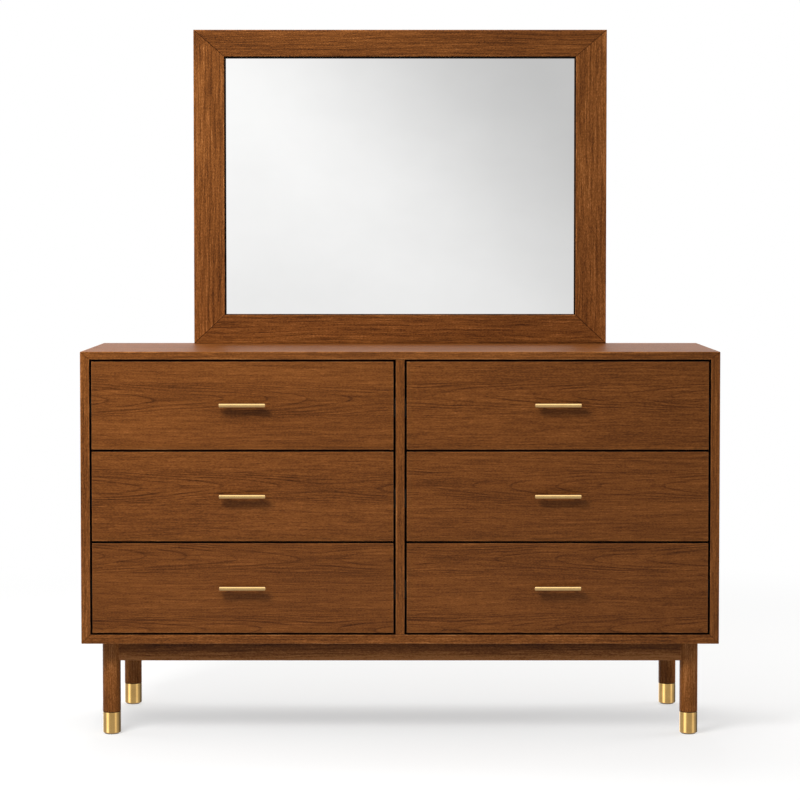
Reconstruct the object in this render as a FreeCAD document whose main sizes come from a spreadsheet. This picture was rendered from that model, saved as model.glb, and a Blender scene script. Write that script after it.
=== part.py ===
import FreeCAD, Part
import itertools
import os
import re
import Sketcher

# A double dresser with a mirror: a mitred case with six inset drawers on telescopic slides, a base of four
# round legs joined by aprons, and a framed mirror that stands on the case and is held by two supports.
# Millimetres. +X is to the right, -Y is the front, +Z is up. The floor is Z = 0, and the dresser with its
# pulls and its rear screws is centred on X = 0 and Y = 0.

SIZES = [
    # name, millimetres, meaning
    ("case_width", 1524, "case, left to right"),
    ("case_depth", 457, "case, front to back, without the pulls"),
    ("top_thickness", 19, "top panel"),
    ("bottom_thickness", 22, "bottom panel"),
    ("side_thickness", 22, "side panels"),
    ("divider_thickness", 22, "upright between the two columns of drawers"),
    ("corner_easing", 1.2, "flat along the outer corners of the case"),
    ("edge_easing", 1, "chamfer around visible front faces"),
    ("joint_easing", 0.6, "half of the fine groove at a mitre"),
    ("back_thickness", 6, "back panel"),
    ("back_inset", 1, "back panel, in from the rear edges of the case"),
    ("back_seat", 8, "width of the rebate that takes the back panel"),
    ("panel_fit", 0.3, "play of a panel in its rebate or groove"),
    ("back_rail_height", 90, "rails under the top, behind the drawers"),
    ("back_rail_thickness", 19, "rails under the top, behind the drawers"),
    ("top_front_height", 211, "fronts of the upper drawers"),
    ("middle_front_height", 215, "fronts of the middle drawers"),
    ("bottom_front_height", 216, "fronts of the lower drawers"),
    ("front_thickness", 19, "drawer fronts"),
    ("row_gap", 4, "reveal above and below a drawer front"),
    ("side_gap", 4.4, "reveal beside a drawer front"),
    ("box_wall", 12, "walls of a drawer box"),
    ("box_lift", 16, "underside of a drawer box, above that of its front"),
    ("box_headroom", 30, "top of a drawer box, below that of its front"),
    ("box_clearance", 10, "free depth behind a drawer box"),
    ("box_bottom_thickness", 6, "bottom of a drawer box"),
    ("box_bottom_lift", 10, "bottom of a drawer box, above the lower edges of its walls"),
    ("box_groove", 6, "depth of the groove that takes the bottom"),
    ("slide_width", 12.7, "room of a slide between drawer box and case"),
    ("slide_height", 45, "case member of a slide"),
    ("slide_metal", 1.2, "sheet of the slides"),
    ("slide_play", 0.3, "play between the members of a slide"),
    ("slide_setback", 2, "front ends of the slides, behind the drawer front"),
    ("pull_length", 111, "bar of a pull"),
    ("pull_diameter", 12, "bar of a pull"),
    ("pull_projection", 25, "pull, out from the drawer front"),
    ("pull_lift", 2, "pull, above the middle of its drawer front"),
    ("pull_end_easing", 1, "chamfer at the ends of the bar"),
    ("pull_cap_length", 5.6, "end of the bar beyond its fine groove"),
    ("pull_groove_width", 0.7, "fine groove near each end of the bar"),
    ("pull_groove_depth", 0.35, "fine groove near each end of the bar"),
    ("post_diameter", 5.5, "posts of a pull"),
    ("post_spacing", 76, "posts of a pull, centre to centre"),
    ("pull_thread_depth", 10, "screw of a pull, in its post"),
    ("leg_height", 228, "floor to underside of the case"),
    ("leg_diameter", 43.4, "legs"),
    ("front_leg_side_inset", 64.5, "axis of a front leg, in from the side of the case"),
    ("rear_leg_side_inset", 75, "axis of a rear leg, in from the side of the case"),
    ("front_leg_inset", 65, "axis of a front leg, behind the front of the case"),
    ("rear_leg_inset", 25, "axis of a rear leg, ahead of the rear of the case"),
    ("ferrule_height", 51, "brass ferrules"),
    ("ferrule_diameter", 43.8, "brass ferrules"),
    ("ferrule_wall", 1.5, "brass ferrules"),
    ("ferrule_fit", 0.1, "play of a leg in its ferrule"),
    ("ferrule_joint", 1.5, "shadow gap between a leg's shoulder and its ferrule"),
    ("ferrule_rounding", 3, "lower edge of a ferrule"),
    ("ferrule_line_drop", 4, "turned line, below the top of the ferrule"),
    ("ferrule_line_width", 0.7, "turned line"),
    ("ferrule_line_depth", 0.3, "turned line"),
    ("glide_diameter", 34, "glides under the ferrules"),
    ("glide_thickness", 2, "glides under the ferrules"),
    ("apron_height", 50, "aprons under the case"),
    ("apron_thickness", 22, "aprons under the case"),
    ("apron_easing", 2, "chamfer along the lower front edge of an apron"),
    ("apron_fit", 0.1, "play between a coped apron and the round leg"),
    ("block_height", 38, "corner blocks of the base"),
    ("block_reach", 70, "corner block, along each apron"),
    ("block_relief", 22, "corner block, cut back from the corner"),
    ("block_screw_length", 50, "screws through the corner blocks"),
    ("block_screw_spread", 26, "the two screws of a block, apart along X and Y"),
    ("mirror_width", 1054, "mirror frame"),
    ("mirror_height", 800, "mirror frame"),
    ("mirror_thickness", 24, "mirror frame"),
    ("stile_width", 78, "upright members of the mirror frame"),
    ("rail_width", 67.5, "upper member of the mirror frame"),
    ("low_rail_width", 73, "lower member of the mirror frame"),
    ("glass_side_gap", 3.6, "dark gap between a stile and the glass"),
    ("glass_top_gap", 4.5, "dark gap between the upper rail and the glass"),
    ("glass_low_gap", 1.3, "gap between the lower rail and the glass"),
    ("glass_recess", 6, "face of the glass, behind the face of the frame"),
    ("glass_thickness", 5, "mirror glass"),
    ("glass_bevel", 1, "polished edge of the glass"),
    ("backing_seat", 12, "width of the rebate that takes the black board behind the glass"),
    ("clip_length", 36, "turn buttons that hold the board"),
    ("clip_width", 14, "turn buttons"),
    ("clip_thickness", 1.5, "turn buttons"),
    ("clip_overlap", 12, "turn buttons, over the board"),
    ("clip_spacing", 300, "turn buttons of a rail, apart"),
    ("clip_drop", 150, "turn button of a stile, below the top of the mirror"),
    ("clip_screw_length", 14, "screws of the turn buttons"),
    ("support_width", 60, "mirror supports"),
    ("support_thickness", 18, "mirror supports"),
    ("support_rise", 500, "mirror supports, above the case"),
    ("support_drop", 104, "mirror supports, below the top of the case"),
    ("support_screw_inset", 25, "screws of a support, from its ends"),
    ("support_screw_pitch", 300, "screws of a support that hold the mirror, apart"),
    ("support_screw_spread", 30, "the two screws of a support that hold the case, apart"),
    ("support_screw_length", 36, "screws of the supports"),
    ("wood_screw_diameter", 4.2, "screws of the base and the supports"),
    ("wood_screw_head", 9, "diameter of their heads"),
    ("wood_screw_head_height", 2.4, "height of their heads"),
    ("back_screw_diameter", 3, "screws of the back panel and the turn buttons"),
    ("back_screw_head", 6, "diameter of their heads"),
    ("back_screw_head_height", 0.9, "height of their heads"),
    ("back_screw_length", 18, "screws of the back panel"),
    ("pull_screw_diameter", 3.6, "screws of the pulls"),
    ("pull_screw_head", 8, "diameter of their heads"),
    ("pull_screw_head_height", 2, "height of their heads"),
    ("hole_play", 0.15, "hole of a screw, wider than it on each side"),
    ("tip_play", 1, "hole of a screw, deeper than its tip"),
]

# What follows from the sizes: each is a formula of sizes and of other places.
PLACES = {
    "inner_width": "case_width - 2 * side_thickness",
    "inner_height": "top_front_height + middle_front_height + bottom_front_height + 4 * row_gap",
    "case_height": "bottom_thickness + inner_height + top_thickness",
    "floor_z": "leg_height + bottom_thickness",
    "ceiling_z": "floor_z + inner_height",
    "case_top_z": "leg_height + case_height",
    "rear_projection": "support_thickness + wood_screw_head_height",
    "front_y": "(pull_projection - case_depth - rear_projection) / 2",
    "rear_y": "front_y + case_depth",
    "back_face_y": "rear_y - back_inset",
    "back_seat_y": "back_face_y - back_thickness",
    "bay_width": "(inner_width - divider_thickness) / 2",
    "bay_x": "(divider_thickness + bay_width) / 2",
    "bottom_row_z": "floor_z + row_gap",
    "middle_row_z": "bottom_row_z + bottom_front_height + row_gap",
    "top_row_z": "middle_row_z + middle_front_height + row_gap",
    "box_width": "bay_width - 2 * slide_width",
    "box_front_y": "front_y + front_thickness",
    "box_depth": "case_depth - front_thickness - back_inset - back_thickness"
                 " - back_rail_thickness - box_clearance",
    "slide_length": "box_depth - slide_setback",
    "slide_y": "box_front_y + slide_setback + slide_length / 2",
    "middle_member_height": "slide_height - 2 * slide_metal - 2 * slide_play",
    "drawer_member_height": "middle_member_height - 2 * slide_metal - 2 * slide_play",
    "front_leg_x": "case_width / 2 - front_leg_side_inset",
    "rear_leg_x": "case_width / 2 - rear_leg_side_inset",
    "front_leg_y": "front_y + front_leg_inset",
    "rear_leg_y": "rear_y - rear_leg_inset",
    "side_apron_x": "(front_leg_x + rear_leg_x) / 2",
    "ferrule_z": "glide_thickness",
    "ferrule_top_z": "ferrule_z + ferrule_height",
    "tenon_radius": "ferrule_diameter / 2 - ferrule_wall - ferrule_fit",
    "mirror_front_y": "rear_y - mirror_thickness",
    "mirror_top_z": "case_top_z + mirror_height",
    "sight_width": "mirror_width - 2 * stile_width",
    "sight_height": "mirror_height - rail_width - low_rail_width",
    "sight_z": "case_top_z + (mirror_height + low_rail_width - rail_width) / 2",
    "glass_y": "mirror_front_y + glass_recess",
    "backing_y": "glass_y + glass_thickness",
    "backing_thickness": "mirror_thickness - glass_recess - glass_thickness",
    "support_x": "mirror_width / 2 - stile_width / 2",
}

COLUMNS = {"left": -1, "right": 1}
ROWS = ("top", "middle", "bottom")
# Where the screws of the back panel stand: shares of half its width, and of its height.
BACK_SCREWS_ACROSS = (-0.95, -0.4, 0.4, 0.95)
BACK_SCREWS_UP_SIDES = (0.15, 0.5, 0.85)
BACK_SCREWS_UP_DIVIDER = (0.2, 0.5, 0.8)

doc = FreeCAD.newDocument("DresserWithMirror")
sheet = doc.addObject("Spreadsheet::Sheet", "Sizes")
for line, (alias, value, meaning) in enumerate(SIZES, start=1):
    sheet.set(f"A{line}", meaning)
    sheet.set(f"B{line}", str(value))
    sheet.setAlias(f"B{line}", alias)
doc.recompute()


def formula(text):
    """Expression in which each word of the text has become a cell of the sheet or the formula of a place."""
    def spell_out(word):
        name = word.group(0)
        if name in PLACES:
            return f"({formula(PLACES[name])})"
        return f"{sheet.Name}.{name}"
    return re.sub(r"[a-z][a-z_]+", spell_out, str(text))


def number(text):
    """Present value of a formula, in millimetres."""
    found = sheet.evalExpression(formula(text))
    return float(getattr(found, "Value", found))


def bind(piece, **formulas):
    """Bind properties of an object to formulas."""
    for name, text in formulas.items():
        piece.setExpression(name, formula(text))


def seat(piece, x, y, z):
    """Bind the place of an object."""
    for axis, text in zip("xyz", (x, y, z)):
        piece.setExpression(f"Placement.Base.{axis}", formula(text))
    return piece


def block(label, size, centre):
    """Box with its size and its centre along X, Y and Z."""
    piece = doc.addObject("Part::Box", label)
    bind(piece, Length=size[0], Width=size[1], Height=size[2])
    return seat(piece, *(f"{middle} - ({length}) / 2" for length, middle in zip(size, centre)))


TURNS = {  # turn of an upright cylinder that makes it run along an axis
    "+x": FreeCAD.Rotation(FreeCAD.Vector(0, 1, 0), 90),
    "+y": FreeCAD.Rotation(FreeCAD.Vector(1, 0, 0), -90),
    "-y": FreeCAD.Rotation(FreeCAD.Vector(1, 0, 0), 90),
    "+z": FreeCAD.Rotation(),
    "-z": FreeCAD.Rotation(FreeCAD.Vector(1, 0, 0), 180),
}
OPPOSITE = {"+y": "-y", "-y": "+y", "+z": "-z", "-z": "+z"}


def rod(label, diameter, length, start, along):
    """Cylinder from a start point along an axis."""
    piece = doc.addObject("Part::Cylinder", label)
    bind(piece, Radius=f"({diameter}) / 2", Height=length)
    piece.Placement.Rotation = TURNS[along]
    return seat(piece, *start)


def group(label, pieces):
    """Several solids in one sub-part."""
    made = doc.addObject("Part::Compound", label)
    made.Links = pieces
    return made


def cut(label, base, tools):
    """Base with the tools taken away."""
    made = doc.addObject("Part::Cut", label)
    made.Base = base
    made.Tool = tools[0] if len(tools) == 1 else group(label + "_tools", tools)
    return made


def fuse(label, pieces):
    """One solid of several that overlap."""
    made = doc.addObject("Part::MultiFuse", label)
    made.Shapes = pieces
    made.Refine = True
    return made


def outline(body, plane, corners):
    """Closed sketch with straight sides on an origin plane of a body, each corner placed by formulas."""
    sketch = body.newObject("Sketcher::SketchObject", body.Name + "_outline")
    sketch.AttachmentSupport = [(origin_part(body, plane), "")]
    sketch.MapMode = "FlatFace"
    points = [FreeCAD.Vector(number(across), number(up), 0) for across, up in corners]
    for start, end in zip(points, points[1:] + points[:1]):
        sketch.addGeometry(Part.LineSegment(start, end), False)
    for side, (across, up) in enumerate(corners):
        following = (side + 1) % len(corners)
        sketch.addConstraint(Sketcher.Constraint("Coincident", side, 2, following, 1))
        for direction, text in (("DistanceX", across), ("DistanceY", up)):
            index = sketch.addConstraint(Sketcher.Constraint(direction, -1, 1, side, 1, number(text)))
            sketch.setExpression(f"Constraints[{index}]", formula(text))
    return sketch


def origin_part(body, role):
    """Origin plane or axis of a body."""
    return next(part for part in body.Origin.OriginFeatures if part.Role == role)


def prism(label, plane, corners, length):
    """Body with a straight-sided outline, padded. On XZ_Plane the pad runs towards -Y."""
    body = doc.addObject("PartDesign::Body", label)
    pad = body.newObject("PartDesign::Pad", label + "_pad")
    pad.Profile = outline(body, plane, corners)
    bind(pad, Length=length)
    body.Tip = pad
    doc.recompute()
    return body


def turned(label, profile, axis="Z_Axis"):
    """Body turned from a profile in the XZ plane: each corner has a radius and a height."""
    body = doc.addObject("PartDesign::Body", label)
    turning = body.newObject("PartDesign::Revolution", label + "_turning")
    turning.Profile = outline(body, "XZ_Plane", profile)
    turning.ReferenceAxis = (origin_part(body, axis), [""])
    turning.Angle = 360
    body.Tip = turning
    doc.recompute()
    return body


def ease(body, size, chosen, feature="Chamfer"):
    """Chamfer or fillet the edges of a body that the test picks."""
    base = body.Tip
    names = [f"Edge{i}" for i, edge in enumerate(base.Shape.Edges, start=1) if chosen(edge)]
    eased = body.newObject(f"PartDesign::{feature}", f"{body.Name}_{feature}_{len(body.Group)}")
    eased.Base = (base, names)
    bind(eased, **{"Size" if feature == "Chamfer" else "Radius": size})
    body.Tip = eased
    doc.recompute()
    return body


def at_front(edge, depth):
    """Whether an edge lies in the front face of a prism of that depth, in the prism's own frame."""
    return all(abs(vertex.Y + number(depth)) < 1e-6 for vertex in edge.Vertexes)


def is_level_or_upright(edge):
    """Whether an edge runs along X or along Z."""
    step = edge.Vertexes[-1].Point - edge.Vertexes[0].Point
    return min(abs(step.x), abs(step.z)) < 1e-6


def eased_board(label, corners, depth):
    """Board with a straight-sided front face at -depth and its level and upright front edges eased."""
    body = prism(label, "XZ_Plane", corners, depth)
    return ease(body, "edge_easing", lambda edge: at_front(edge, depth) and is_level_or_upright(edge))


def mitred_board(label, corners, depth):
    """Eased board with half of a fine groove along the front edge of each mitre."""
    body = eased_board(label, corners, depth)
    return ease(body, "joint_easing", lambda edge: at_front(edge, depth) and not is_level_or_upright(edge))


# ---------------------------------------------------------------- screws

class Screw:
    """Pan-head screw, and the drill that makes room for its shank."""

    def __init__(self, label, kind, length, head, along):
        shank = rod(label + "_shank", f"{kind}_diameter", length, head, along)
        cap = rod(label + "_head", f"{kind}_head", f"{kind}_head_height", head, OPPOSITE[along])
        self.solid = fuse(label, [shank, cap])
        self.drill = rod(label + "_drill", f"{kind}_diameter + 2 * hole_play", f"{length} + tip_play",
                         head, along)


def solids(screws):
    return [screw.solid for screw in screws]


def drills(screws):
    return [screw.drill for screw in screws]


def back_screws():
    """Screws around the back panel: each list goes with the board that they enter."""
    reach = "(inner_width + back_seat) / 2"
    places = {}
    for board, z in (("case_top", "ceiling_z + back_seat / 2"), ("case_bottom", "floor_z - back_seat / 2")):
        places[board] = [(f"{reach} * {share}", z) for share in BACK_SCREWS_ACROSS]
    uprights = [("case_divider", "0", BACK_SCREWS_UP_DIVIDER)]
    for side, sign in COLUMNS.items():
        uprights.append((f"case_side_{side}", f"{sign} * {reach}", BACK_SCREWS_UP_SIDES))
    for board, x, shares in uprights:
        places[board] = [(x, f"floor_z + inner_height * {share}") for share in shares]

    def screw(label, x, z):
        return Screw(label, "back_screw", "back_screw_length", (x, "back_face_y", z), "-y")

    return {board: [screw(f"back_screw_{board}_{i}", x, z) for i, (x, z) in enumerate(spots)]
            for board, spots in places.items()}


def support_screws():
    """Screws of the two mirror supports, by side: some enter the stile, the others the rail of the case."""
    start_y = "rear_y + support_thickness"
    low = "case_top_z - support_drop + support_screw_inset"
    high = "case_top_z + support_rise - support_screw_inset"
    made = {}
    for side, sign in COLUMNS.items():
        x = f"{sign} * support_x"
        places = {
            "rail": [(x, low), (x, f"{low} + support_screw_spread")],
            "stile": [(x, high), (x, f"{high} - support_screw_pitch")],
        }
        made[side] = {
            member: [Screw(f"support_screw_{side}_{member}_{i}", "wood_screw", "support_screw_length",
                           (px, start_y, pz), "-y") for i, (px, pz) in enumerate(spots)]
            for member, spots in places.items()
        }
    return made


# ---------------------------------------------------------------- case

def case_shell(screws):
    """Top, bottom and sides, mitred into each other; the sections share the corners of the mitres."""
    width, side = "case_width / 2", "inner_width / 2"
    a, b = "corner_easing", "corner_easing / 2"
    tops = {
        "case_top": ("case_top_z", "ceiling_z", "-"),
        "case_bottom": ("leg_height", "floor_z", "+"),
    }
    boards = {}
    for label, (outer, inner, inward) in tops.items():
        eased = f"{outer} {inward} {b}"
        boards[label] = [
            (f"-{width} + {a}", outer), (f"{width} - {a}", outer), (f"{width} - {b}", eased),
            (side, inner), (f"-{side}", inner), (f"-{width} + {b}", eased),
        ]
    for name, sign in COLUMNS.items():
        outer, inner, eased = f"{sign} * {width}", f"{sign} * {side}", f"{sign} * ({width} - {b})"
        boards[f"case_side_{name}"] = [
            (outer, f"leg_height + {a}"), (eased, f"leg_height + {b}"), (inner, "floor_z"),
            (inner, "ceiling_z"), (eased, f"case_top_z - {b}"), (outer, f"case_top_z - {a}"),
        ]
    seat_size = ("inner_width + 2 * back_seat", "2 * (back_inset + back_thickness)",
                 "inner_height + 2 * back_seat")
    seat_tool = block("back_seat_tool", seat_size, ("0", "rear_y", "floor_z + inner_height / 2"))
    made = {}
    for label, corners in boards.items():
        board = seat(mitred_board(label + "_board", corners, "case_depth"), "0", "rear_y", "0")
        made[label] = cut(label, board, [seat_tool] + drills(screws[label]))
    return made


def case_divider(screws):
    half = "divider_thickness / 2"
    corners = [(f"-{half}", "floor_z"), (half, "floor_z"), (half, "ceiling_z"), (f"-{half}", "ceiling_z")]
    depth = "case_depth - back_inset - back_thickness"
    board = seat(eased_board("case_divider_board", corners, depth), "0", "back_seat_y", "0")
    return {"case_divider": cut("case_divider", board, drills(screws["case_divider"]))}


def case_back(screws, holders):
    size = ("inner_width + 2 * (back_seat - panel_fit)", "back_thickness",
            "inner_height + 2 * (back_seat - panel_fit)")
    panel = block("case_back_board", size, ("0", "back_face_y - back_thickness / 2",
                                            "floor_z + inner_height / 2"))
    holes = [drill for board in screws.values() for drill in drills(board)]
    holes += [drill for side in holders.values() for drill in drills(side["rail"])]
    return {"case_back": cut("case_back", panel, holes)}


def back_rails(holders):
    """A rail under the top in each bay, which the back panel and a mirror support are screwed to."""
    rails = []
    for side, sign in COLUMNS.items():
        size = ("bay_width", "back_rail_thickness", "back_rail_height")
        centre = (f"{sign} * bay_x", "back_seat_y - back_rail_thickness / 2",
                  "ceiling_z - back_rail_height / 2")
        rail = block(f"back_rail_{side}_board", size, centre)
        rails.append(cut(f"back_rail_{side}", rail, drills(holders[side]["rail"])))
    return {"back_rails": group("back_rails", rails)}


# ---------------------------------------------------------------- drawers and slides

def channel(label, size, centre, opening):
    """Sheet-metal channel along Y: a block with a slot that leaves its web and its two flanges."""
    width, length, height = size
    outer = block(label + "_outer", size, centre)
    slot_size = (width, f"({length}) + 2 * slide_metal", f"({height}) - 2 * slide_metal")
    slot_centre = (f"{centre[0]} + {opening} * slide_metal", centre[1], centre[2])
    return cut(label, outer, [block(label + "_slot", slot_size, slot_centre)])


def slide(name, row, sign, side):
    """Case, middle and drawer member of one slide: side is -1 at the left of its drawer, +1 at its right."""
    wall_x = f"({sign} * bay_x + {side} * bay_width / 2)"
    z = f"{row}_row_z + box_lift + ({row}_front_height - box_lift - box_headroom) / 2"
    inward = -side
    reach = "(slide_width - slide_play)"
    step = "(slide_metal + slide_play)"
    drawer_reach = f"(slide_width - 2 * {step})"
    members = {
        "case": (reach, "slide_height", f"{wall_x} + {inward} * {reach} / 2", inward),
        "middle": (f"({reach} - {step})", "middle_member_height",
                   f"{wall_x} + {inward} * ({step} + ({reach} - {step}) / 2)", inward),
        "drawer": (drawer_reach, "drawer_member_height",
                   f"{wall_x} + {inward} * (slide_width - {drawer_reach} / 2)", side),
    }
    end = "left" if side < 0 else "right"

    def member(kind):
        width, height, x, opening = members[kind]
        size, centre = (width, "slide_length", height), (x, "slide_y", z)
        return channel(f"slide_{kind}_{name}_{end}", size, centre, opening)

    return {kind: member(kind) for kind in members}


def pull_z(row):
    return f"{row}_row_z + {row}_front_height / 2 + pull_lift"


def pull_screws(name, row, sign):
    """The two screws of a pull, driven from inside the drawer box."""
    inside_y = "box_front_y + box_wall"
    z = pull_z(row)
    length = "front_thickness + box_wall + pull_thread_depth - tip_play"
    return [
        Screw(f"pull_screw_{name}_{end}", "pull_screw", length,
              (f"{sign} * bay_x + {end_sign} * post_spacing / 2", inside_y, z), "-y")
        for end, end_sign in COLUMNS.items()
    ]


def drawer_front(name, row, sign, screws):
    left = f"{sign} * bay_x - (bay_width / 2 - side_gap)"
    right = f"{sign} * bay_x + (bay_width / 2 - side_gap)"
    low, high = f"{row}_row_z", f"{row}_row_z + {row}_front_height"
    corners = [(left, low), (right, low), (right, high), (left, high)]
    label = f"drawer_{name}_front"
    board = seat(eased_board(label + "_board", corners, "front_thickness"), "0", "box_front_y", "0")
    return cut(label, board, drills(screws))


def drawer_box(name, row, sign, screws):
    """Four walls with a groove near their lower edges, and the bottom that sits in it."""
    x = f"{sign} * bay_x"
    low = f"({row}_row_z + box_lift)"
    height = f"({row}_front_height - box_lift - box_headroom)"
    z, y = f"{low} + {height} / 2", "box_front_y + box_depth / 2"
    cross = ("box_width - 2 * box_wall", "box_wall", height)
    long = ("box_wall", "box_depth", height)
    side_x = "(box_width - box_wall) / 2"
    walls = {
        "inner_front": (cross, (x, "box_front_y + box_wall / 2", z)),
        "inner_back": (cross, (x, "box_front_y + box_depth - box_wall / 2", z)),
        "side_left": (long, (f"{x} - {side_x}", y, z)),
        "side_right": (long, (f"{x} + {side_x}", y, z)),
    }
    ungrooved = "2 * (box_wall - box_groove)"
    bottom_z = f"{low} + box_bottom_lift + box_bottom_thickness / 2"
    groove_size = (f"box_width - {ungrooved}", f"box_depth - {ungrooved}", "box_bottom_thickness + panel_fit")
    groove = block(f"box_{name}_groove", groove_size, (x, y, bottom_z))
    bottom_size = (f"box_width - {ungrooved} - 2 * panel_fit", f"box_depth - {ungrooved} - 2 * panel_fit",
                   "box_bottom_thickness")
    pieces = [block(f"box_{name}_bottom", bottom_size, (x, y, bottom_z))]
    for wall, (size, centre) in walls.items():
        holes = drills(screws) if wall == "inner_front" else []
        board = block(f"box_{name}_{wall}_board", size, centre)
        pieces.append(cut(f"box_{name}_{wall}", board, [groove] + holes))
    return group(f"drawer_{name}_box", pieces)


def drawer_pull(name, row, sign, screws):
    """Turned bar with a fine groove near each end, on two posts that take the screws."""
    end, radius = "pull_length / 2", "pull_diameter / 2"
    cap, groove = f"({end} - pull_cap_length)", f"({end} - pull_cap_length - pull_groove_width)"
    half = [
        (end, "0"), (end, f"{radius} - pull_end_easing"), (f"{end} - pull_end_easing", radius),
        (cap, radius), (cap, f"{radius} - pull_groove_depth"),
        (groove, f"{radius} - pull_groove_depth"), (groove, radius),
    ]
    profile = half + [(f"-({along})", across) for along, across in reversed(half)]
    label, x, z = f"drawer_{name}_pull", f"{sign} * bay_x", pull_z(row)
    bar_y = "front_y - pull_projection + pull_diameter / 2"
    bar = seat(turned(label + "_bar", profile, "X_Axis"), x, bar_y, z)
    posts = [
        rod(f"{label}_post_{post}", "post_diameter", "pull_projection - pull_diameter / 2",
            (f"{x} + {post_sign} * post_spacing / 2", "front_y", z), "-y")
        for post, post_sign in COLUMNS.items()
    ]
    body = cut(label + "_body", fuse(label + "_metal", [bar] + posts), drills(screws))
    return group(label, [body] + solids(screws))


def drawers():
    """Six drawers, each with its front, box, pull and slides; the case members of the slides are a group."""
    made, case_members = {}, []
    for row, (column, sign) in itertools.product(ROWS, COLUMNS.items()):
        name = f"{row}_{column}"
        screws = pull_screws(name, row, sign)
        pair = [slide(name, row, sign, side) for side in (-1, 1)]
        case_members += [members["case"] for members in pair]
        pieces = [
            drawer_front(name, row, sign, screws),
            drawer_box(name, row, sign, screws),
            drawer_pull(name, row, sign, screws),
            group(f"drawer_{name}_slide_members", [members["drawer"] for members in pair]),
            group(f"slide_{name}_middle_members", [members["middle"] for members in pair]),
        ]
        made.update({piece.Label: piece for piece in pieces})
    made["slide_case_members"] = group("slide_case_members", case_members)
    return made


# ---------------------------------------------------------------- base

def legs():
    """Turned leg with a tenon, its brass ferrule and the glide under it, for each of the four corners."""
    radius, tenon = "leg_diameter / 2", "tenon_radius"
    shoulder, foot = "ferrule_top_z + ferrule_joint", "ferrule_z + ferrule_wall + ferrule_fit"
    leg_profile = [("0", foot), (tenon, foot), (tenon, shoulder), (radius, shoulder),
                   (radius, "leg_height"), ("0", "leg_height")]
    brass, bore = "ferrule_diameter / 2", "ferrule_diameter / 2 - ferrule_wall"
    line_high = "ferrule_top_z - ferrule_line_drop"
    line, line_low = f"{brass} - ferrule_line_depth", f"{line_high} - ferrule_line_width"
    ferrule_profile = [
        ("0", "ferrule_z"), (brass, "ferrule_z"), (brass, line_low), (line, line_low), (line, line_high),
        (brass, line_high), (brass, "ferrule_top_z"), (bore, "ferrule_top_z"),
        (bore, "ferrule_z + ferrule_wall"), ("0", "ferrule_z + ferrule_wall"),
    ]
    glide_profile = [("0", "0"), ("glide_diameter / 2", "0"),
                     ("glide_diameter / 2", "glide_thickness"), ("0", "glide_thickness")]
    made, glides = {}, []
    for end in ("front", "rear"):
        for side, sign in COLUMNS.items():
            place = (f"{sign} * {end}_leg_x", f"{end}_leg_y", "0")
            leg = seat(turned(f"leg_{end}_{side}", leg_profile), *place)
            ferrule = seat(turned(f"ferrule_{end}_{side}", ferrule_profile), *place)
            round_lower_edge(ferrule)
            glides.append(seat(turned(f"glide_{end}_{side}", glide_profile), *place))
            made.update({leg.Label: leg, ferrule.Label: ferrule})
    made["glides"] = group("glides", glides)
    return made


def round_lower_edge(ferrule):
    """Round the outer edge of a ferrule's underside."""
    radius, low = number("ferrule_diameter / 2"), number("ferrule_z")

    def is_lower_edge(edge):
        return (isinstance(edge.Curve, Part.Circle) and abs(edge.Curve.Radius - radius) < 1e-6
                and abs(edge.Curve.Center.z - low) < 1e-6)

    ease(ferrule, "ferrule_rounding", is_lower_edge, "Fillet")


def coping(end, side):
    """Cylinder that copes an apron to a round leg."""
    sign = COLUMNS[side]
    start = (f"{sign} * {end}_leg_x", f"{end}_leg_y", "leg_height - 2 * apron_height")
    return rod(f"coping_{end}_{side}", "leg_diameter + 2 * apron_fit", "3 * apron_height", start, "+z")


def aprons():
    """Front and rear aprons between the legs and side aprons from leg to leg, all coped to the round legs."""
    copes = {(end, side): coping(end, side) for end in ("front", "rear") for side in COLUMNS}
    low, high = "leg_height - apron_height", "leg_height"
    made = {}
    for end in ("front", "rear"):
        half = f"{end}_leg_x"
        corners = [(f"-{half}", low), (half, low), (half, high), (f"-{half}", high)]
        board = prism(f"apron_{end}_board", "XZ_Plane", corners, "apron_thickness")
        ease(board, "apron_easing", lambda edge: at_front(edge, "apron_thickness") and is_low(edge, low))
        seat(board, "0", f"{end}_leg_y + apron_thickness / 2", "0")
        made[f"apron_{end}"] = cut(f"apron_{end}", board, [copes[end, side] for side in COLUMNS])
    sides = []
    for side, sign in COLUMNS.items():
        size = ("apron_thickness", "rear_leg_y - front_leg_y", "apron_height")
        centre = (f"{sign} * side_apron_x", "(front_leg_y + rear_leg_y) / 2", f"({low} + {high}) / 2")
        board = block(f"apron_{side}_board", size, centre)
        sides.append(cut(f"apron_{side}", board, [copes["front", side], copes["rear", side]]))
    made["aprons_side"] = group("aprons_side", sides)
    return made


def is_low(edge, height):
    """Whether an edge lies at a height."""
    return all(abs(vertex.Z - number(height)) < 1e-6 for vertex in edge.Vertexes)


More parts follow.
